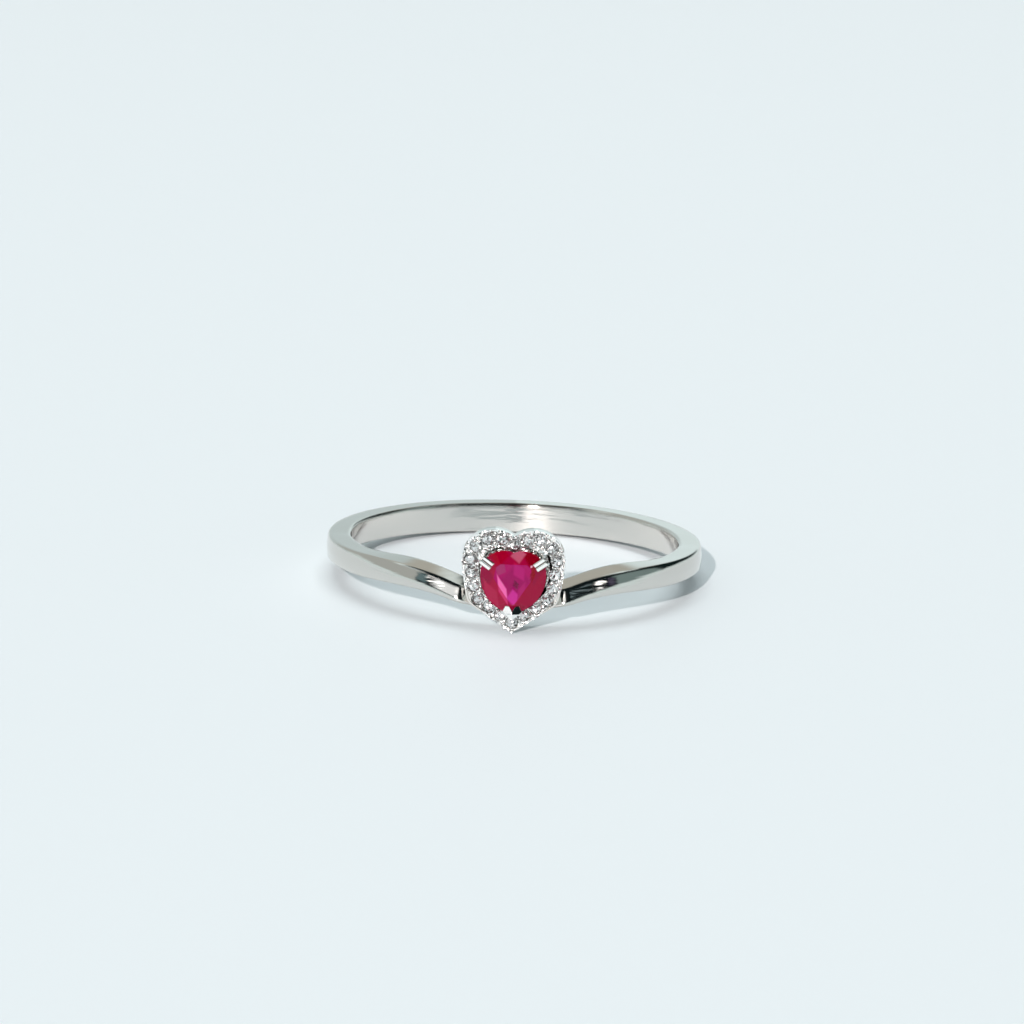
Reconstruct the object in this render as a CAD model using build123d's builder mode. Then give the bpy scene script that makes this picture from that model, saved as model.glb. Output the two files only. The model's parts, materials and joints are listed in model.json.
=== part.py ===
from build123d import *
from math import asin, atan2, cos, degrees, hypot, radians, sin, tan
import os

os.makedirs("parts", exist_ok=True)

# The ring is modelled in its own straight frame: the finger's axis is Z, the head faces -Y.
# At the end it is tipped and lowered onto z = 0, as it lies by itself on a table.

# Finger hole and band
bore_diameter = 17.0
band_wall = 1.25  # metal round the finger, measured outwards
bridge_wall = 0.7  # the same behind the head, clear of the stones
bridge_angle = 8.0  # the band is that thin up to this angle from the head
back_height = 1.6  # along the finger, behind the finger
shoulder_height = 1.2  # along the finger, where the arms begin
neck_height = 0.78  # along the finger, where the arms pass behind the head
edge_round = 0.08  # width of the broken outer edges
bore_round = 0.07  # and of the edges next to the finger

# Arms: from the shoulders they fall in a shallow V, with a ridge that opens into a facet
shoulder_angle = 60.0  # from the head, round the finger
arm_reach = 41.0  # angle from the head at which the V starts to fall
arm_fall = 1.6  # depth of the V at the head
facet_lean = 21.0  # slope of the facet above the ridge, in degrees
facet_most = 0.84  # most of the arm's height that the facet takes
facet_least = 0.12  # the same from the shoulders back, where it is only a broken edge
facet_growth = 1.2  # how fast the facet opens towards the head
top_bevel = 0.3  # outward fall of the arm's upper side across the wall
bevel_growth = 2.0  # how fast that fall grows towards the head
dome = 0.05  # crown of the band's outer face, below the facet
junction_angle = 15.0  # where the arms meet the sides of the head
section_angles = (-24, -15, -8, 0, 8, 15, 22, 31, 42, 54, 66, 80, 98, 118, 140, 160, 180, 200)

# Head: a flat heart of metal, with its tip down
heart_half_width = 2.55
heart_lobe_side = 0.82  # from the middle line to the top of a lobe
heart_lobe_top = 2.52  # above the heart's middle
heart_cleft = 2.2
heart_tip = 2.65  # below the heart's middle
heart_widest = 0.75  # height of the widest place
heart_corner_top = -0.8
heart_corner_low = -1.4
heart_corner_in = 0.25  # how far the flank has come in at the corner's top
heart_corner_out = 0.7  # and at its foot
head_depth = 0.9
head_front = 10.0  # from the finger's axis to the front of the rim
head_rise = 0.3  # the heart's middle above the band's middle
tip_round = 0.12

# Small diamonds round the heart
diamonds_each_side = 9  # and one at the cleft and one at the tip
diamond_diameter = 0.6
diamond_inset = 0.44  # middle of a diamond in from the heart's edge
diamond_girdle = 0.02
diamond_table = 0.33  # across the table
diamond_sides = 16
diamond_crown_slope = 34.0
diamond_star_slope = 22.0
diamond_upper_slope = 40.0
diamond_pavilion_slope = 41.0
diamond_lower_slope = 42.5
rim_wall = 0.09
rim_height = 0.08
girdle_sink = 0.02  # foot of a diamond's girdle below the floor of the trench
stone_gap = 0.03  # play between a stone and its metal
bead_radius = 0.055
bead_sides = 6
bead_spread = 0.23  # a bead's distance from the line of the diamonds

# Ruby: a heart cut with a broad table
ruby_half_width = 1.62
ruby_lobe_side = 0.62
ruby_lobe_top = 1.52
ruby_cleft = 1.44
ruby_tip = 1.62
ruby_widest = 0.3
ruby_girdle = 0.1
ruby_crown = 0.42
ruby_pavilion = 1.28
ruby_lift = 0.14  # foot of the girdle in front of the rim
ruby_culet_drop = 0.2  # culet below the heart's middle
ruby_crown_mains = ((90, 35), (50, 35), (12, 31), (-34, 26.5), (-62, 37), (-90, 41))  # azimuth, slope
ruby_crown_breaks = ((70, 42), (31, 42), (-11, 38), (-49, 38))
ruby_break_step = 4.0  # the lower facets between the mains are this much steeper
outline_samples = 240  # places on the ruby's outline that are tried for its farthest point

# Collet that carries the ruby, and its claws
opening_inset = 0.8  # edge of the heart's opening in from the heart's outline
opening_clear = 0.14  # most gap between that edge and the ruby
collet_clear = 0.06  # least gap between that edge and the collet
collet_proud = 0.06  # the collet stands this far outside the ruby
collet_wall = 0.3
floor_thickness = 0.3
claw_angle = 36.0  # upper claws, above the horizontal
claw_reach = 1.3  # inner end of an upper claw, from the ruby's middle
claw_foot = 1.98  # its outer end
claw_prong = 0.2  # width of one of the two prongs of a claw
claw_split = 0.04
claw_top = 0.54  # in front of the foot of the ruby's girdle
claw_root = 0.5  # behind the front of the rim
claw_round = 0.05
prong_round = 0.065  # corners of a prong, seen from the front
tip_claw_half_width = 0.49
tip_claw_top = -1.15
tip_claw_notch = -1.42
tip_claw_side = -1.45
tip_claw_foot = -1.84
tip_claw_front = 0.64  # in front of the foot of the ruby's girdle
tip_claw_brow = -1.55  # height of its foremost point
tip_claw_fall = 18.0  # its two sides fall away from a ridge, in degrees
tip_claw_rise = 18.0  # and above the brow they fall back towards the ruby

bore_radius = bore_diameter / 2
outer_radius = bore_radius + band_wall
head_back = head_front - head_depth
diamond_radius = diamond_diameter / 2
cut_depth = 3 * outer_radius  # longer than anything that it cuts

# Planes that face the wearer's front: x to the right, y along the finger, z outwards
face_plane = Plane(origin=(0, -head_front, head_rise), x_dir=(1, 0, 0), z_dir=(0, -1, 0))
ruby_plane = face_plane.offset(ruby_lift)
girdle_level = -rim_height - girdle_sink  # foot of the diamonds' girdles on the face plane


def ease(share):
    """Smooth step from 0 to 1."""
    share = min(max(share, 0.0), 1.0)
    return share * share * (3 - 2 * share)


def band_height(angle):
    """Height of the band along the finger, at an angle from the head."""
    if angle < shoulder_angle:
        return neck_height + (shoulder_height - neck_height) * ease(angle / shoulder_angle)
    back_share = ease((angle - shoulder_angle) / (180 - shoulder_angle))
    return shoulder_height + (back_height - shoulder_height) * back_share


def band_section(angle):
    """Section of the band in the plane through the finger's axis."""
    turn = min(abs(angle), 360 - abs(angle))
    height = band_height(turn)
    middle = -arm_fall * max(1 - turn / arm_reach, 0) ** 2
    front = max(1 - turn / shoulder_angle, 0)
    growth = ease((turn - bridge_angle) / (junction_angle - bridge_angle))
    outside = bore_radius + bridge_wall + (band_wall - bridge_wall) * growth
    share = facet_least + (facet_most - facet_least) * min(facet_growth * front, 1)
    top, low = middle + height / 2, middle - height / 2
    facet_foot = top - share * height
    flank = outside - dome * (1 - share)
    lean = (share * height - edge_round) * tan(radians(facet_lean))
    inside = bore_radius - bore_round  # cut away with the finger hole
    outer_top = flank - lean - edge_round
    inner_top = top + top_bevel * ease(bevel_growth * front) * (outer_top - bore_radius) / band_wall
    with BuildSketch(radial_plane(angle)) as section:
        with BuildLine():
            Polyline(
                (bore_radius + bore_round, low),
                (inside, low + 2 * bore_round),
                (inside, inner_top - 2 * bore_round),
                (bore_radius + bore_round, inner_top),
                (outer_top, top),
                (flank - lean, top - edge_round),
                (flank, facet_foot),
                (outside, (facet_foot + low + edge_round) / 2),
                (flank, low + edge_round),
                (flank - edge_round, low),
                close=True,
            )
        make_face()
    return section.sketch


def radial_plane(angle):
    """Plane through the finger's axis: x outwards, y along the finger."""
    radial = (sin(radians(angle)), -cos(radians(angle)), 0)
    backward = (-cos(radians(angle)), -sin(radians(angle)), 0)
    return Plane(origin=(0, 0, 0), x_dir=radial, z_dir=backward)


def facet_plane(stone_plane, azimuth, slope, distance, level):
    """Plane of a facet: it slopes inwards from a line at a distance from the stone's middle."""
    across, up = cos(radians(azimuth)), sin(radians(azimuth))
    steep, flat = sin(radians(slope)), cos(radians(slope))
    start = stone_plane.from_local_coords((distance * across, distance * up, level))
    end = stone_plane.from_local_coords(
        (distance * across + steep * across, distance * up + steep * up, level + flat)
    )
    return Plane(origin=start, z_dir=end - start)


def ruby_reach(azimuth):
    """Distance from the ruby's middle to its farthest point in a direction."""
    across, up = cos(radians(azimuth)), sin(radians(azimuth))
    rim = ruby_heart.wire().positions([step / outline_samples for step in range(outline_samples)])
    return max(point.X * across + point.Y * up for point in rim)


def both_sides(azimuth):
    """An azimuth and its mirror image; those straight up and down stand alone."""
    return (azimuth,) if azimuth % 180 == 90 else (azimuth, 180 - azimuth)


# Outlines of the two hearts
with BuildSketch(face_plane) as heart:
    with BuildLine():
        head_lobe = ThreePointArc(
            (0, heart_cleft), (heart_lobe_side, heart_lobe_top), (heart_half_width, heart_widest)
        )
        flank_foot = (heart_half_width - heart_corner_in, heart_corner_top)
        corner_foot = (heart_half_width - heart_corner_out, heart_corner_low)
        flank = TangentArc(head_lobe @ 1, flank_foot, tangent=head_lobe % 1)
        corner = TangentArc(flank @ 1, corner_foot, tangent=flank % 1)
        Line(corner @ 1, (0, -heart_tip))
        mirror(about=Plane.YZ)
    make_face()

with BuildSketch(face_plane) as ruby_heart:
    with BuildLine():
        lobe = ThreePointArc(
            (0, ruby_cleft), (ruby_lobe_side, ruby_lobe_top), (ruby_half_width, ruby_widest)
        )
        TangentArc(lobe @ 1, (0, -ruby_tip), tangent=(0, -1))
        mirror(about=Plane.YZ)
    make_face()

# Places of the diamonds: evenly along the heart, one at the cleft and one at the tip
with BuildSketch(face_plane) as stone_line:
    add(heart.sketch_local)
    offset(amount=-diamond_inset, mode=Mode.REPLACE)
    split(bisect_by=Plane.YZ)
half_line = Wire(stone_line.edges().filter_by(lambda edge: edge.center().X > stone_gap))
steps = diamonds_each_side + 1
stone_pitch = half_line.length / steps


def line_place(step, aside):
    """Point beside the line of the diamonds, so many pitches along it, on the face plane."""
    here = half_line.position_at(step * stone_pitch, PositionMode.LENGTH)
    along = half_line.tangent_at(step * stone_pitch, PositionMode.LENGTH)
    spot = here + along.cross(Vector(0, 0, 1)) * aside
    return spot.X, spot.Y


right_places = [line_place(step, 0) for step in range(1, steps)]
end_places = [line_place(0, 0), line_place(steps, 0)]
left_places = [(-x, y) for x, y in reversed(right_places)]
stone_places = end_places[:1] + right_places + end_places[1:] + left_places
outer_beads = [line_place(step + 0.5, bead_spread) for step in range(steps)]
inner_beads = [line_place(step + 0.5, -bead_spread) for step in range(1, steps)]  # clear of the claw
bead_places = [(side * x, y) for x, y in outer_beads + inner_beads for side in (1, -1)]
stone_seats = [Location(face_plane) * Pos(x, y, girdle_level) for x, y in stone_places]

# The ruby's facets, and the ruby
ruby_facets = [ruby_plane.offset(ruby_girdle + ruby_crown)]
for azimuth, slope in ruby_crown_mains + ruby_crown_breaks:
    for turn in both_sides(azimuth):
        ruby_facets.append(facet_plane(ruby_plane, turn, slope, ruby_reach(turn), ruby_girdle))
for steeper, rows in ((0, ruby_crown_mains), (ruby_break_step, ruby_crown_breaks)):
    for azimuth, _ in rows:
        for turn in both_sides(azimuth):
            run = ruby_reach(turn) + ruby_culet_drop * sin(radians(turn))
            slope = degrees(atan2(ruby_pavilion, run)) + steeper
            ruby_facets.append(facet_plane(ruby_plane, turn, 180 - slope, ruby_reach(turn), 0))


def cut_ruby(play):
    """The ruby, or with some play the room that the metal leaves for it."""
    with BuildPart() as stone:
        with BuildSketch(face_plane) as girdle:
            add(ruby_heart.sketch_local)
            if play > 0:
                offset(amount=play, kind=Kind.INTERSECTION, mode=Mode.REPLACE)
        extrude(girdle.sketch, amount=ruby_lift + ruby_girdle + 2 * ruby_crown)
        extrude(girdle.sketch, amount=ruby_lift - 2 * ruby_pavilion)
        for facet in ruby_facets:
            split(bisect_by=facet.offset(play), keep=Keep.BOTTOM)
    return stone.part


with BuildPart() as ruby:
    add(cut_ruby(0))

# One diamond, on Z with its girdle's foot at z = 0: table, stars, mains and halves
with BuildPart() as diamond:
    with BuildSketch():
        RegularPolygon(radius=diamond_radius, side_count=diamond_sides)
    extrude(amount=diamond_radius, both=True)
    half_turn = 180 / diamond_sides
    flat = diamond_radius * cos(radians(half_turn))
    crown = (diamond_radius - diamond_table / 2) * tan(radians(diamond_crown_slope))
    top = diamond_girdle + crown
    split(bisect_by=Plane.XY.offset(top), keep=Keep.BOTTOM)
    for side in range(diamond_sides):
        azimuth = side * 2 * half_turn
        split(
            bisect_by=facet_plane(Plane.XY, azimuth + half_turn, diamond_upper_slope, flat, diamond_girdle),
            keep=Keep.BOTTOM,
        )
        split(
            bisect_by=facet_plane(Plane.XY, azimuth + half_turn, 180 - diamond_lower_slope, flat, 0),
            keep=Keep.BOTTOM,
        )
        if side % 2 == 0:
            main = facet_plane(Plane.XY, azimuth, diamond_crown_slope, diamond_radius, diamond_girdle)
            split(bisect_by=main, keep=Keep.BOTTOM)
            under = facet_plane(Plane.XY, azimuth, 180 - diamond_pavilion_slope, diamond_radius, 0)
            split(bisect_by=under, keep=Keep.BOTTOM)
        else:
            star = facet_plane(Plane.XY, azimuth, diamond_star_slope, diamond_table / 2, top)
            split(bisect_by=star, keep=Keep.BOTTOM)

# Claws: two prongs beside each other on either side, and a forked one round the tip
with BuildPart() as side_claws:
    with BuildSketch(face_plane) as prongs:
        middle = (claw_reach + claw_foot) / 2
        for turn in both_sides(claw_angle):
            across, up = cos(radians(turn)), sin(radians(turn))
            for aside in (-1, 1):
                spread = aside * (claw_prong + claw_split) / 2
                with Locations((middle * across - spread * up, middle * up + spread * across)):
                    RectangleRounded(claw_foot - claw_reach, claw_prong, prong_round, rotation=turn)
    extrude(prongs.sketch, amount=ruby_lift + claw_top)
    extrude(prongs.sketch, amount=-claw_root)
    chamfer(side_claws.faces().filter_by(Axis.Y).group_by(Axis.Y)[0].edges(), claw_round)

with BuildPart() as tip_claw:
    with BuildSketch(face_plane) as fork:
        with BuildLine():
            Polyline(
                (0, tip_claw_notch),
                (tip_claw_half_width / 3, tip_claw_top),
                (tip_claw_half_width * 2 / 3, tip_claw_top),
                (tip_claw_half_width, tip_claw_side),
                (0, tip_claw_foot),
            )
            mirror(about=Plane.YZ)
        make_face()
    extrude(fork.sketch, amount=ruby_lift + tip_claw_front)
    extrude(fork.sketch, amount=-claw_root)
    brow = (0, -head_front - ruby_lift - tip_claw_front, head_rise + tip_claw_brow)
    for side in (-1, 1):
        for rise in (0, tip_claw_rise):
            falling = (side * tan(radians(tip_claw_fall)), -1, tan(radians(rise)))
            split(bisect_by=Plane(origin=brow, z_dir=falling), keep=Keep.BOTTOM)

# Head: the heart's plate with its trench, the collet, claws, seats and grains
with BuildPart() as head:
    extrude(heart.sketch, amount=-head_depth)
    fillet(head.edges().filter_by(Axis.Y).sort_by(Axis.Z)[0], tip_round)
    with BuildSketch(face_plane, mode=Mode.PRIVATE) as opening:
        add(heart.sketch_local)
        offset(amount=-opening_inset, mode=Mode.REPLACE)
        with BuildSketch(face_plane, mode=Mode.PRIVATE) as opening_limit:
            add(ruby_heart.sketch_local)
            offset(amount=opening_clear, kind=Kind.INTERSECTION, mode=Mode.REPLACE)
        add(opening_limit.sketch_local, mode=Mode.INTERSECT)
    with BuildSketch(face_plane) as trench:
        add(heart.sketch_local)
        offset(amount=-rim_wall, mode=Mode.REPLACE)
        add(opening.sketch_local, mode=Mode.SUBTRACT)
    extrude(trench.sketch, amount=-rim_height, mode=Mode.SUBTRACT)
    with BuildSketch(face_plane, mode=Mode.PRIVATE) as collet:
        add(heart.sketch_local)
        offset(amount=-opening_inset - collet_clear, mode=Mode.REPLACE)
        with BuildSketch(face_plane, mode=Mode.PRIVATE) as collet_outside:
            add(ruby_heart.sketch_local)
            offset(amount=collet_proud, kind=Kind.INTERSECTION, mode=Mode.REPLACE)
        add(collet_outside.sketch_local, mode=Mode.INTERSECT)
    with BuildSketch(face_plane) as well:
        add(opening.sketch_local)
        add(collet.sketch_local, mode=Mode.SUBTRACT)
    extrude(well.sketch, amount=floor_thickness - head_depth, mode=Mode.SUBTRACT)
    add(side_claws.part)
    add(tip_claw.part)
    with BuildSketch(face_plane) as window:
        add(ruby_heart.sketch_local)
        offset(amount=-collet_wall, mode=Mode.REPLACE)
    extrude(window.sketch, amount=-head_depth, mode=Mode.SUBTRACT)
    add(cut_ruby(stone_gap), mode=Mode.SUBTRACT)
    with BuildSketch(face_plane.offset(-rim_height)) as seats:
        with Locations(*stone_places):
            Circle(diamond_radius + stone_gap)
    extrude(seats.sketch, amount=-girdle_sink - diamond_radius, mode=Mode.SUBTRACT)
    with BuildSketch(face_plane) as grains:
        with Locations(*bead_places):
            RegularPolygon(radius=bead_radius, side_count=bead_sides)
    extrude(grains.sketch, amount=-2 * rim_height)

# All the metal as one soldered solid: band and arms, bored for the finger, and the head
with BuildPart() as metal:
    loft([band_section(angle) for angle in section_angles])
    split(bisect_by=Plane.YZ)
    mirror(about=Plane.YZ)
    Cylinder(bore_radius, cut_depth, mode=Mode.SUBTRACT)
    add(head.part)

# Rest pose: the heart's tip and the band's lower edge at the back touch the table
tip_slope = atan2(heart_tip + heart_corner_low, heart_half_width - heart_corner_out)
tip_level = head_rise - heart_tip + tip_round * (1 / cos(tip_slope) - 1)
back_run = outer_radius - dome * (1 - facet_least) - edge_round + head_back
back_rise = edge_round - back_height / 2 - tip_level
tilt = atan2(back_rise, back_run) - asin(edge_round / hypot(back_run, back_rise))
tipped = Location((0, 0, 0), (-degrees(tilt), 0, 0))
lift = -head_back * sin(tilt) - tip_level * cos(tilt)
centring = -metal.part.moved(tipped).bounding_box().center().Y
rest = Location((0, centring, lift)) * tipped

with BuildPart() as band_and_setting:
    with Locations(rest):
        add(metal.part)
band_and_setting.part.label = "band_and_setting"
export_step(band_and_setting.part, "parts/band_and_setting.step")

with BuildPart() as ruby_in_place:
    with Locations(rest):
        add(ruby.part)
ruby_in_place.part.label = "ruby"
export_step(ruby_in_place.part, "parts/ruby.step")

for number, seat in enumerate(stone_seats, 1):
    with BuildPart() as halo_diamond:
        with Locations(rest * seat):
            add(diamond.part)
    halo_diamond.part.label = f"halo_diamond_{number:02d}"
    export_step(halo_diamond.part, f"parts/halo_diamond_{number:02d}.step")
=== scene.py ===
import json
from math import cos, pi, radians, sin
import bmesh
import bpy
from mathutils import Matrix, Vector


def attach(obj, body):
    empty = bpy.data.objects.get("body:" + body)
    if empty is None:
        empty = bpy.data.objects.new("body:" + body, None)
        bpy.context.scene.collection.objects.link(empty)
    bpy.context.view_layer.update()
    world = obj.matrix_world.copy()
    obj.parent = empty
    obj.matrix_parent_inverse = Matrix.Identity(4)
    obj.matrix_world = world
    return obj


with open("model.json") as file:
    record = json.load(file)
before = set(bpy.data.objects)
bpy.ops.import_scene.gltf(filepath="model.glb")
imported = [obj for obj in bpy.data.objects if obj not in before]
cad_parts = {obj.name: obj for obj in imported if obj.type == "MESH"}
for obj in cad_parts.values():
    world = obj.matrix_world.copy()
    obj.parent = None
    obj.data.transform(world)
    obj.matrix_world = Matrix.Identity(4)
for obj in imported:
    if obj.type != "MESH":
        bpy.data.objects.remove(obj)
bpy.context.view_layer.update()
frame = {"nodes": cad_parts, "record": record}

mm = 0.001
cadNodes = frame["nodes"]
print("frame loaded:", len(cadNodes), "nodes")


def srgb(hexText):
    # sRGB hex to the linear values that shaders take
    parts = [int(hexText[start:start + 2], 16) / 255 for start in (1, 3, 5)]
    linear = [part / 12.92 if part <= 0.04045 else ((part + 0.055) / 1.055) ** 2.4 for part in parts]
    return (*linear, 1.0)


def addNode(tree, kind, inputs=(), **settings):
    # adds one node; inputs go by name or in the order they show, and a node or socket among them gets a link
    made = tree.nodes.new("ShaderNode" + kind)
    for name, value in settings.items():
        setattr(made, name, value)
    shown = [socket for socket in made.inputs if socket.enabled]
    for key, value in inputs.items() if isinstance(inputs, dict) else enumerate(inputs):
        socket = made.inputs[key] if isinstance(key, str) else shown[key]
        if isinstance(value, bpy.types.Node):
            value = next(output for output in value.outputs if output.enabled)
        if isinstance(value, bpy.types.NodeSocket):
            tree.links.new(value, socket)
        else:
            socket.default_value = value
    return made


def newMaterial(name):
    made = bpy.data.materials.new(name)
    made.use_nodes = True
    made.node_tree.nodes.clear()
    return made, made.node_tree


def between(tree, value, low, high, soft):
    # 1 between two values and 0 outside them, with soft ends
    rise = addNode(tree, "MapRange", [value, low - soft, low + soft], interpolation_type="SMOOTHSTEP")
    drop = addNode(tree, "MapRange", [value, high - soft, high + soft, 1.0, 0.0], interpolation_type="SMOOTHSTEP")
    return addNode(tree, "Math", [rise, drop], operation="MULTIPLY")


def addObject(name, data):
    made = bpy.data.objects.new(name, data)
    bpy.context.scene.collection.objects.link(made)
    return made


# camera: a long lens from a little above, looking at the heart; places in mm, angles in degrees
cameraSetup = {"place": (0.055, -174.705, 50.895), "pitch": 15.131, "yaw": 0.077, "roll": 1.95,
               "lens": 123.05, "sensor": 36.0, "clip": (0.01, 50.0)}  # clipped in metres
cameraData = bpy.data.cameras.new("camera")
cameraData.lens = cameraSetup["lens"]
cameraData.sensor_width = cameraSetup["sensor"]
cameraData.clip_start, cameraData.clip_end = cameraSetup["clip"]
cameraObject = addObject("camera", cameraData)
aimed = Matrix.Rotation(radians(cameraSetup["yaw"]), 4, "Z")
aimed = aimed @ Matrix.Rotation(radians(90 - cameraSetup["pitch"]), 4, "X")
aimed = aimed @ Matrix.Rotation(radians(cameraSetup["roll"]), 4, "Z")
cameraObject.matrix_world = Matrix.Translation(Vector(cameraSetup["place"]) * mm) @ aimed
bpy.context.scene.camera = cameraObject
print("camera placed")

# floor: board with a matt paint, plain and pale, which shows soft shadows and no mirror of the ring
floorBoard = {"half": 2.0, "colour": "#E6EEF4", "roughness": 0.6}  # half its side in metres
half = floorBoard["half"]
floorMesh = bpy.data.meshes.new("floor")
floorMesh.from_pydata([(-half, -half, 0), (half, -half, 0), (half, half, 0), (-half, half, 0)], [], [(0, 1, 2, 3)])
addObject("floor", floorMesh)
paintedBoard, boardTree = newMaterial("paintedBoard")
paint = addNode(boardTree, "BsdfPrincipled", {
    "Base Color": srgb(floorBoard["colour"]), "Roughness": floorBoard["roughness"]})
addNode(boardTree, "OutputMaterial", {"Surface": paint})
floorMesh.materials.append(paintedBoard)
print("floor ready")

# a pale photo tent stands round the ring, dark on top and open to a dim room on the camera's side, so that the metal
# has both light and dark to mirror; turn is in degrees from the camera's side, positive to its right, and height is
# the sine of the elevation, where 2 stands for no upper end
tent = {
    "low": "#CCDADB", "high": "#E6F4F5", "highFrom": 0.66, "highSoft": 0.08, "strength": 1.3,
    "patches": {  # each covers the ones before it
        "grey band": {"turn": (-200, 200), "height": (0.42, 0.64), "soft": 0.09, "colour": "#A6A69E"},
        "left side": {"turn": (-200, -120), "height": (0.0, 0.58), "soft": 0.09, "colour": "#B4C0C1"},
        "fold": {"turn": (-200, -150), "height": (0.56, 0.9), "soft": 0.06, "colour": "#AAAAA2"},
        "fold's end": {"turn": (171, 200), "turnSoft": 7, "height": (0.56, 0.9), "soft": 0.06, "colour": "#AAAAA2"},
        "dark top": {"turn": (-200, 200), "height": (0.86, 2.0), "soft": 0.05, "colour": "#141C1E"},
        "room": {"turn": (-58, 143), "height": (0.24, 2.0), "colour": "#0F1719"},
        "wall": {"turn": (-150, -57), "height": (0.2, 0.8), "colour": "#A5A9A6"},
        "door": {"turn": (101, 165), "height": (0.15, 0.7), "colour": "#101C1C"},
        "shelf": {"turn": (20, 44), "height": (0.525, 0.545), "soft": 0.01, "colour": "#76868C"},
        "screen": {"turn": (63, 101), "height": (0.26, 0.72), "colour": "#708180"},
        "curtain": {"turn": (-57, -48), "height": (0.4, 0.6), "colour": "#5F7377"},
        "chair": {"turn": (56, 62), "height": (0.44, 0.6), "colour": "#4E4A5C"},
        "window": {"turn": (-44, -4), "height": (0.38, 0.6), "colour": "#E2E6E8"},
    },
    "patchSoft": 0.03, "patchTurnSoft": 2.0,
    "lamps": {  # small and strong, for the glints on the arms
        "window's edge": {"turn": (-49, -41), "height": (0.525, 0.56), "strength": 2.5},
        "desk lamp": {"turn": (46, 55), "height": (0.495, 0.53), "strength": 2.5},
    },
    "lampSoft": 0.01, "lampTurnSoft": 1.0,
}
bpy.context.scene.view_settings.view_transform = "Standard"
world = bpy.data.worlds.new("softStudio")
bpy.context.scene.world = world
world.use_nodes = True
sky = world.node_tree
sky.nodes.clear()
direction = addNode(sky, "SeparateXYZ", [addNode(sky, "TexCoord").outputs["Generated"]])
height = direction.outputs["Z"]
towardsCamera = addNode(sky, "Math", [direction.outputs["Y"], -1.0], operation="MULTIPLY")
turnAngle = addNode(sky, "Math", [direction.outputs["X"], towardsCamera], operation="ARCTAN2")
turn = addNode(sky, "Math", [turnAngle, 180 / pi], operation="MULTIPLY")
isHigh = between(sky, height, tent["highFrom"], 2.0, tent["highSoft"])
tentColour = addNode(sky, "Mix", [isHigh, srgb(tent["low"]), srgb(tent["high"])], data_type="RGBA")
for patchName, patch in tent["patches"].items():
    inTurn = between(sky, turn, *patch["turn"], patch.get("turnSoft", tent["patchTurnSoft"]))
    inHeight = between(sky, height, *patch["height"], patch.get("soft", tent["patchSoft"]))
    inPatch = addNode(sky, "Math", [inTurn, inHeight], operation="MULTIPLY")
    tentColour = addNode(sky, "Mix", [inPatch, tentColour, srgb(patch["colour"])], data_type="RGBA", label=patchName)
tentStrength = tent["strength"]
for lampName, lamp in tent["lamps"].items():
    inTurn = between(sky, turn, *lamp["turn"], tent["lampTurnSoft"])
    inHeight = between(sky, height, *lamp["height"], tent["lampSoft"])
    inLamp = addNode(sky, "Math", [inTurn, inHeight], operation="MULTIPLY")
    glow = addNode(sky, "Math", [inLamp, lamp["strength"]], operation="MULTIPLY")
    tentStrength = addNode(sky, "Math", [tentStrength, glow], operation="ADD")
    tentColour = addNode(sky, "Mix", [inLamp, tentColour, srgb("#FFFFFF")], data_type="RGBA", label=lampName)
tentLight = addNode(sky, "Background", {"Color": tentColour, "Strength": tentStrength})
addNode(sky, "OutputWorld", {"Surface": tentLight})
print("tent ready:", len(tent["patches"]), "patches and", len(tent["lamps"]), "lamps")

# a low sun from behind the camera's left shoulder gives the crisp shadows and the sparkle
lowSun = {"energy": 2.75, "angle": 1.5, "colour": "#FFF3EE", "towards": (-0.5, -2.0, 1.0)}
sunData = bpy.data.lights.new("sun", "SUN")
sunData.energy = lowSun["energy"]
sunData.angle = radians(lowSun["angle"])
sunData.color = srgb(lowSun["colour"])[:3]
sunObject = addObject("sun", sunData)
sunObject.rotation_euler = Vector(lowSun["towards"]).to_track_quat("Z", "Y").to_euler()

# a soft box overhead lights the floor and the stones, and is kept out of the metal's mirror
softBox = {"energy": 12.8, "side": 1.2, "colour": "#F2F8F6", "place": (0.0, 0.0, 1.5)}  # in watts and metres
boxData = bpy.data.lights.new("softBox", "AREA")
boxData.shape = "SQUARE"
boxData.size = softBox["side"]
boxData.energy = softBox["energy"]
boxData.color = srgb(softBox["colour"])[:3]
boxObject = addObject("softBox", boxData)
boxObject.location = softBox["place"]
boxObject.visible_glossy = False
print("lights ready")


def cornersOf(name):
    return [vertex.co for vertex in cadNodes[name].data.vertices]


def middleOf(points):
    return sum(points, Vector()) / len(points)


# the heart stands along the finger hole's axis, which leans a little as the ring lies
heartUp = Vector(frame["record"]["mounts"][0]["axis"])
heartFront = Vector((0.0, -heartUp.z, heartUp.y))
stoneNames = sorted(name for name in cadNodes if name.startswith("halo_diamond"))
stoneLevel = max(corner.dot(heartFront) for name in stoneNames for corner in cornersOf(name))  # the stones' tables
rubyLevel = middleOf(cornersOf("ruby")).dot(heartUp)


def onHeart(tree):
    # places on the heart's face in mm: sideways and upwards from the ruby's middle
    here = addNode(tree, "TexCoord").outputs["Object"]
    sideways = addNode(tree, "SeparateXYZ", [here]).outputs["X"]
    upwards = addNode(tree, "VectorMath", [here, heartUp], operation="DOT_PRODUCT")
    aboveRuby = addNode(tree, "Math", [upwards, rubyLevel], operation="SUBTRACT")
    return [addNode(tree, "Math", [length, mm], operation="DIVIDE") for length in (sideways, aboveRuby)]


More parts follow.
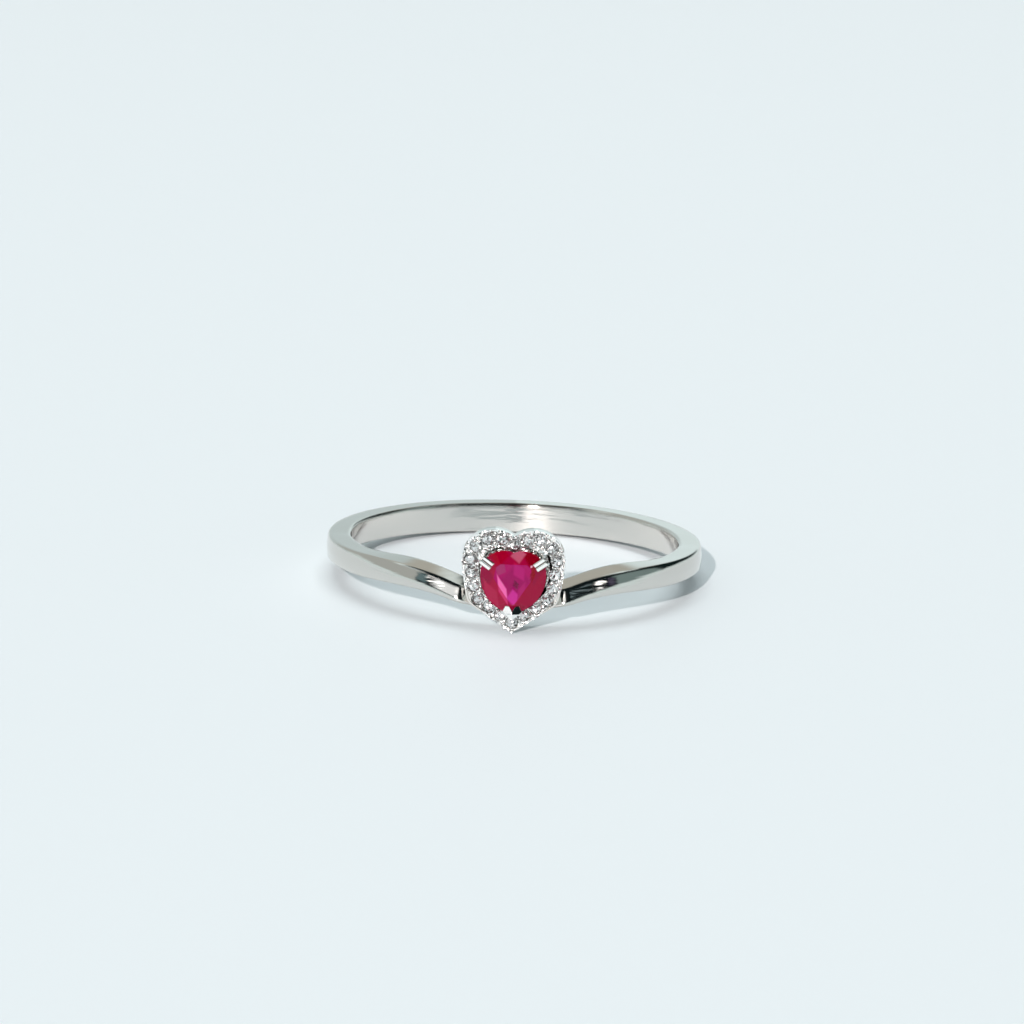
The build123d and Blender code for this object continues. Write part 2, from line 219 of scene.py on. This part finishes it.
# white gold, cast, rhodium plated and buffed on a wheel: a bright mirror with rounded edges, faint wheel marks and long
# waves that bend the reflections, and a broken sparkle where the setter cut grains out of the face; lengths in mm
goldFinish = {
    # the setting's colour is a lighter copy of the band's gold, a painted brightening for the light the head catches
    "bandColour": "#D9D6D1", "litSettingColour": "#FBFAF8", "slotShadeColour": "#17130F",
    "roughness": (0.04, 0.1), "cutRoughness": 0.16,
    # edges are worn least in the setting and most at the back, where the finger goes in
    "settingEdge": 0.03, "bandEdge": 0.22, "backEdge": 0.34, "lowEdgeShare": 0.15, "edgeSamples": 8,
    "settingEnds": (2.3, 2.9), "backStarts": (0.0, 6.0), "lowEnds": (0.6, 1.2),  # each blends between two x, y or z
    # marks of the wheel are about 0.01 wide, and are drawn at 0.11 so that the render shows them
    "wheelMark": 0.1111, "wheelDepth": 0.002, "wheelStrength": 0.03,
    # filing by hand leaves waves about 3 long down the arms, and 0.4 wide
    "waveLength": 2.857, "waveWidth": 0.3846, "waveDepth": 0.02,
    # a graver's cuts are about 0.05 wide, and are drawn at 0.12, or they would blur into grey
    "cut": 0.12, "cutDepth": 0.036, "cutSlant": 1.05,
    "faceTurn": 0.75, "seatTurn": 0.25,  # how far a surface faces the front to be cut, on the face and at the seats
    "seatDepth": 0.5, "grainRise": 0.06,  # cuts reach from below the stones' tables to above them
    "headHalf": 2.78, "headTaper": 0.75, "headFrom": -7.0,  # half width, how it narrows to the tip, and where in y
    # the collet stands off its halo on one side, and the slot between them is painted shade, a dark arc round a point
    # above the ruby's middle, with its ends in degrees
    "slot": {"above": 0.4, "radius": 1.86, "width": 0.13, "from": -50, "to": 26, "soft": 3},
}


def makeWhiteGold(finish):
    gold, tree = newMaterial("rhodiumWhiteGold")
    here = addNode(tree, "TexCoord").outputs["Object"]
    x, y, z = addNode(tree, "SeparateXYZ", [here]).outputs
    normal = addNode(tree, "NewGeometry").outputs["Normal"]
    settingEnds, backStarts, lowEnds = [
        [place * mm for place in finish[key]] for key in ("settingEnds", "backStarts", "lowEnds")]

    # how round each edge is worn, by x towards the head, by y towards the back and by z towards the floor
    fromMiddle = addNode(tree, "Math", [x], operation="ABSOLUTE")
    nearMiddle = addNode(tree, "MapRange", [fromMiddle, *settingEnds, 1.0, 0.0])
    atFront = addNode(tree, "Math", [y, finish["headFrom"] * mm], operation="LESS_THAN")
    inSetting = addNode(tree, "Math", [nearMiddle, atFront], operation="MULTIPLY")
    sharper = (finish["settingEdge"] - finish["bandEdge"]) * mm
    frontEdge = addNode(tree, "Math", [inSetting, sharper, finish["bandEdge"] * mm], operation="MULTIPLY_ADD")
    rounder = (finish["backEdge"] - finish["bandEdge"]) * mm
    backEdge = addNode(tree, "MapRange", [y, *backStarts, 0.0, rounder], interpolation_type="SMOOTHSTEP")
    anyEdge = addNode(tree, "Math", [frontEdge, backEdge], operation="ADD")
    upperEdge = addNode(tree, "MapRange", [z, *lowEnds, finish["lowEdgeShare"], 1.0])
    edge = addNode(tree, "Math", [anyEdge, upperEdge], operation="MULTIPLY")
    rounded = addNode(tree, "Bevel", {"Radius": edge}, samples=finish["edgeSamples"])

    along, across = 1 / (finish["waveLength"] * mm), 1 / (finish["waveWidth"] * mm)
    stretched = addNode(tree, "VectorMath", [here, (along, along, across)], operation="MULTIPLY")
    waves = addNode(tree, "TexNoise", {"Vector": stretched, "Scale": 1.0, "Detail": 2.0})
    filed = addNode(tree, "Bump", {
        "Strength": 1.0, "Distance": finish["waveDepth"] * mm, "Height": waves, "Normal": rounded})

    # the cuts stay on the heart's own face and in the stones' seats, and the arms' ends beside it stay plain
    facing = addNode(tree, "VectorMath", [normal, heartFront], operation="DOT_PRODUCT")
    forward = addNode(tree, "VectorMath", [here, heartFront], operation="DOT_PRODUCT")
    top, bottom = stoneLevel + finish["grainRise"] * mm, stoneLevel - finish["seatDepth"] * mm
    byStones = addNode(tree, "Math", [forward, (top + bottom) / 2, (top - bottom) / 2], operation="COMPARE")
    enough = addNode(tree, "Math", [byStones, finish["seatTurn"] - finish["faceTurn"], finish["faceTurn"]],
                     operation="MULTIPLY_ADD")
    facesFront = addNode(tree, "Math", [facing, enough], operation="GREATER_THAN")
    underClaws = addNode(tree, "Math", [forward, top], operation="LESS_THAN")
    sideways, upwards = onHeart(tree)
    belowRuby = addNode(tree, "Math", [upwards, 0.0], operation="MINIMUM")
    narrower = addNode(tree, "Math", [belowRuby, finish["headTaper"]], operation="MULTIPLY")
    outwards = addNode(tree, "Math", [sideways], operation="ABSOLUTE")
    spread = addNode(tree, "Math", [outwards, narrower], operation="SUBTRACT")
    inHeart = addNode(tree, "Math", [spread, finish["headHalf"]], operation="LESS_THAN")
    inHead = addNode(tree, "Math", [inHeart, atFront], operation="MULTIPLY")
    cutFace = addNode(tree, "Math", [facesFront, underClaws], operation="MULTIPLY")
    isCut = addNode(tree, "Math", [cutFace, inHead], operation="MULTIPLY")
    cuts = addNode(tree, "TexVoronoi", {"Vector": here, "Scale": 1 / (finish["cut"] * mm)})
    cutHeight = addNode(tree, "Math", [cuts, isCut], operation="MULTIPLY")
    dimpled = addNode(tree, "Bump", {
        "Strength": 1.0, "Distance": finish["cutDepth"] * mm, "Height": cutHeight, "Normal": filed})

    wheelMarks = addNode(tree, "TexNoise", {
        "Vector": here, "Scale": 1 / (finish["wheelMark"] * mm), "Detail": 3.0, "Roughness": 0.6})
    buffed = addNode(tree, "Bump", {
        "Strength": finish["wheelStrength"], "Distance": finish["wheelDepth"] * mm, "Height": wheelMarks,
        "Normal": dimpled})
    wear = addNode(tree, "MapRange", {
        "Value": wheelMarks, "To Min": finish["roughness"][0], "To Max": finish["roughness"][1]})
    roughness = addNode(tree, "Math", [isCut, finish["cutRoughness"], wear], operation="MULTIPLY_ADD")

    # each cut takes its own slant, from its cell's random colour less a half
    anySlant = addNode(tree, "VectorMath", [cuts.outputs["Color"], (0.5, 0.5, 0.5)], operation="SUBTRACT")
    slantSize = addNode(tree, "Math", [isCut, finish["cutSlant"]], operation="MULTIPLY")
    slant = addNode(tree, "VectorMath", [anySlant, slantSize], operation="SCALE")
    slanted = addNode(tree, "VectorMath", [buffed, slant], operation="ADD")
    cutNormal = addNode(tree, "VectorMath", [slanted], operation="NORMALIZE")

    # painted shade: the slot beside the collet is a dark arc painted into the gold's colour
    slot = finish["slot"]
    aboveSlot = addNode(tree, "Math", [upwards, slot["above"]], operation="SUBTRACT")
    aboveSquared = addNode(tree, "Math", [aboveSlot, aboveSlot], operation="MULTIPLY")
    farSquared = addNode(tree, "Math", [sideways, sideways, aboveSquared], operation="MULTIPLY_ADD")
    far = addNode(tree, "Math", [farSquared], operation="SQRT")
    onArc = addNode(tree, "Math", [far, slot["radius"], slot["width"] / 2], operation="COMPARE")
    arcAngle = addNode(tree, "Math", [aboveSlot, sideways], operation="ARCTAN2")
    arcDegrees = addNode(tree, "Math", [arcAngle, 180 / pi], operation="MULTIPLY")
    inArc = addNode(tree, "Math", [between(tree, arcDegrees, slot["from"], slot["to"], slot["soft"]), isCut],
                    operation="MULTIPLY")
    inSlotShade = addNode(tree, "Math", [onArc, inArc], operation="MULTIPLY")

    # painted light: the head's face in front of the seats takes the lighter copy of the gold
    inFront = addNode(tree, "Math", [forward, bottom], operation="GREATER_THAN")
    litHeadFront = addNode(tree, "Math", [inHead, inFront], operation="MULTIPLY")
    plain = addNode(tree, "Mix", [litHeadFront, srgb(finish["bandColour"]), srgb(finish["litSettingColour"])],
                    data_type="RGBA")
    colour = addNode(tree, "Mix", [inSlotShade, plain, srgb(finish["slotShadeColour"])], data_type="RGBA")
    shader = addNode(tree, "BsdfPrincipled", {
        "Base Color": colour, "Metallic": 1.0, "Roughness": roughness, "Normal": cutNormal})
    addNode(tree, "OutputMaterial", {"Surface": shader})
    return gold


rhodiumWhiteGold = makeWhiteGold(goldFinish)
print("white gold ready")

# ruby, cut and polished: deep red glass-like stone, painted pinker at the table, with painted reflections of its back
# facets as lozenges and painted glints; places and sizes in mm from its middle, lean in degrees, colours by sides and
# top
rubyFinish = {
    "ior": 1.77, "clearSides": "#F01054", "clearTop": "#F0289A", "glint": 0.18,  # the part one sees through
    # the part that sends light back, with painted reflected light for its colour, and how much of the stone it is
    "paintedShineSides": "#AA0A42", "paintedShineTop": "#B0046A", "paintedShineShare": 0.58, "paintedShineGlint": 0.12, "paintedShineRoughness": 0.02,
    "tableTurn": (0.94, 0.99),  # how far a facet faces the front to count as the table
    "facetSoft": (0.86, 1.22),  # from a lozenge's middle to its edge is 1, and it fades between these
    # painted reflections of the back facets, as lozenges; the last two are small painted glints
    "paintedFacetReflections": [
        {"at": (0.1, 0.0), "lean": 0, "half": (0.75, 0.75), "sides": "#B00C40", "top": "#A00464"},
        {"at": (-1.45, 0.1), "lean": 12, "half": (0.5, 0.62), "sides": "#960C42", "top": "#A80868"},
        {"at": (1.12, 0.35), "lean": -10, "half": (0.2, 0.6), "sides": "#A00A44", "top": "#A80868"},
        {"at": (-0.72, 1.2), "lean": 0, "half": (0.5, 0.5), "sides": "#A8022C", "top": "#A80868"},
        {"at": (0.95, 1.15), "lean": 0, "half": (0.45, 0.6), "sides": "#92021E", "top": "#A80868"},
        {"at": (-1.05, -0.75), "lean": 30, "half": (0.3, 0.8), "sides": "#B62452", "top": "#A80868"},
        {"at": (0.28, 0.45), "lean": 30, "half": (0.3, 0.5), "sides": "#C01450", "top": "#B81478"},
        {"at": (-0.62, 0.55), "lean": -25, "half": (0.28, 0.35), "sides": "#A01040", "top": "#A83070"},
        {"at": (0.22, 1.22), "lean": 8, "half": (0.36, 0.34), "sides": "#C65E7C", "top": "#C05084"},
        {"at": (-0.5, -0.5), "lean": 21, "half": (0.19, 0.78), "sides": "#D83878", "top": "#FF74C4"},
        {"at": (0.05, -0.85), "lean": 8, "half": (0.34, 0.4), "sides": "#C01858", "top": "#D030A0"},
        {"at": (0.42, -0.5), "lean": -22, "half": (0.16, 0.5), "sides": "#B01048", "top": "#B01870"},
        {"at": (0.95, 0.3), "lean": -12, "half": (0.13, 0.42), "sides": "#98001C", "top": "#900030"},
        {"at": (0.14, -0.2), "lean": 20, "half": (0.15, 0.22), "sides": "#800830", "top": "#720848"},
        {"at": (-1.66, 0.44), "lean": 45, "half": (0.06, 0.05), "sides": "#FFC8E0", "top": "#FFC0E0"},
        {"at": (0.88, 0.72), "lean": 45, "half": (0.07, 0.06), "sides": "#FFC0E0", "top": "#FFC0E0"},
    ],
}


def makeRuby(finish):
    ruby, tree = newMaterial("facetedRuby")
    normal = addNode(tree, "NewGeometry").outputs["True Normal"]
    facing = addNode(tree, "VectorMath", [normal, heartFront], operation="DOT_PRODUCT")
    isTable = addNode(tree, "MapRange", [facing, *finish["tableTurn"]])
    sideways, upwards = onHeart(tree)
    # painted light: the colour seen back from inside the stone is painted reflections, lighter and pinker at the table
    paintedInnerLight = addNode(tree, "Mix", [isTable, srgb(finish["paintedShineSides"]), srgb(finish["paintedShineTop"])], data_type="RGBA")
    for facet in finish["paintedFacetReflections"]:
        lean = radians(facet["lean"])
        fromX = addNode(tree, "Math", [sideways, facet["at"][0]], operation="SUBTRACT")
        fromY = addNode(tree, "Math", [upwards, facet["at"][1]], operation="SUBTRACT")
        shares = []  # how far along each of the lozenge's two directions, as a share of its half size
        for partX, partY, halfSize in ((cos(lean), sin(lean), facet["half"][0]),
                                       (-sin(lean), cos(lean), facet["half"][1])):
            alongX = addNode(tree, "Math", [fromX, partX], operation="MULTIPLY")
            along = addNode(tree, "Math", [fromY, partY, alongX], operation="MULTIPLY_ADD")
            length = addNode(tree, "Math", [along], operation="ABSOLUTE")
            shares.append(addNode(tree, "Math", [length, halfSize], operation="DIVIDE"))
        far = addNode(tree, "Math", shares, operation="ADD")
        inPaintedReflection = addNode(tree, "MapRange", [far, *finish["facetSoft"], 1.0, 0.0])
        paintedReflectionColour = addNode(tree, "Mix", [isTable, srgb(facet["sides"]), srgb(facet["top"])], data_type="RGBA")
        paintedInnerLight = addNode(tree, "Mix", [inPaintedReflection, paintedInnerLight, paintedReflectionColour], data_type="RGBA")
    deep = addNode(tree, "Mix", [isTable, srgb(finish["clearSides"]), srgb(finish["clearTop"])], data_type="RGBA")
    clear = addNode(tree, "BsdfPrincipled", {
        "Base Color": deep, "Roughness": 0.0, "IOR": finish["ior"],
        "Transmission Weight": 1.0, "Specular Tint": [finish["glint"]] * 3 + [1.0]})
    paintedShine = addNode(tree, "BsdfPrincipled", {
        "Base Color": paintedInnerLight, "Roughness": finish["paintedShineRoughness"], "IOR": finish["ior"],
        "Specular IOR Level": finish["paintedShineGlint"]})
    stone = addNode(tree, "MixShader", [finish["paintedShineShare"], clear, paintedShine])
    addNode(tree, "OutputMaterial", {"Surface": stone})
    return ruby


facetedRuby = makeRuby(rubyFinish)
print("ruby ready:", len(rubyFinish["paintedFacetReflections"]), "back facets")

# diamond, brilliant cut and polished: colourless, and it breaks what stands round it into bright and dark chips; the
# flashes are about 0.03 mm wide, and are drawn at 0.085 so that the render shows them one by one
diamondFinish = {"colour": "#FAFBFC", "ior": 2.417, "chip": 0.085, "slant": 1.25, "chipRoughness": 0.24,
                 "chipShare": 0.72}


def makeDiamond(finish):
    diamond, tree = newMaterial("facetedDiamond")
    clear = addNode(tree, "BsdfPrincipled", {
        "Base Color": srgb(finish["colour"]), "Roughness": 0.0, "IOR": finish["ior"], "Transmission Weight": 1.0})
    # light also comes back from many small facets inside, each a tiny mirror at its own slant
    here = addNode(tree, "TexCoord").outputs["Object"]
    normal = addNode(tree, "NewGeometry").outputs["Normal"]
    chips = addNode(tree, "TexVoronoi", {"Vector": here, "Scale": 1 / (finish["chip"] * mm)})
    slant = addNode(tree, "VectorMath", [
        chips.outputs["Color"], [finish["slant"]] * 3, [-finish["slant"] / 2] * 3], operation="MULTIPLY_ADD")
    slanted = addNode(tree, "VectorMath", [normal, slant], operation="ADD")
    chipNormal = addNode(tree, "VectorMath", [slanted], operation="NORMALIZE")
    flashing = addNode(tree, "BsdfPrincipled", {
        "Base Color": srgb("#FFFFFF"), "Metallic": 1.0, "Roughness": finish["chipRoughness"], "Normal": chipNormal})
    stone = addNode(tree, "MixShader", [finish["chipShare"], clear, flashing])
    addNode(tree, "OutputMaterial", {"Surface": stone})
    return diamond


facetedDiamond = makeDiamond(diamondFinish)
print("diamond ready")

finishes = {"band_and_setting": rhodiumWhiteGold, "ruby": facetedRuby}
for name, cadObject in cadNodes.items():
    cadObject.data.materials.clear()
    cadObject.data.materials.append(finishes.get(name, facetedDiamond))
print("materials on:", len(cadNodes), "nodes")

# grains: round beads of the same gold raised beside the stones, two pairs in each gap; sizes in mm
grain = {"radius": 0.06, "aside": 0.235, "apart": 0.07, "belowTable": 0.041, "rings": 8, "segments": 12}
seats = []
for name in stoneNames:
    corners = cornersOf(name)
    middle = middleOf(corners)
    tableLevel = max(corner.dot(heartFront) for corner in corners)
    seats.append(middle + heartFront * (tableLevel - grain["belowTable"] * mm - middle.dot(heartFront)))
beads = bmesh.new()
for index, here in enumerate(seats):
    there = seats[(index + 1) % len(seats)]
    along = (there - here).normalized()
    outwards = along.cross(heartFront)
    for side in (1, -1):
        for step in (1, -1):
            spot = (here + there) / 2 + (outwards * side * grain["aside"] + along * step * grain["apart"]) * mm
            bmesh.ops.create_uvsphere(beads, u_segments=grain["segments"], v_segments=grain["rings"],
                                      radius=grain["radius"] * mm, matrix=Matrix.Translation(spot))
grainMesh = bpy.data.meshes.new("halo_grains")
beads.to_mesh(grainMesh)
beads.free()
for face in grainMesh.polygons:
    face.use_smooth = True
grainMesh.materials.append(rhodiumWhiteGold)
grains = addObject("halo_grains", grainMesh)
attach(grains, "root")
print("grains ready:", 4 * len(seats))
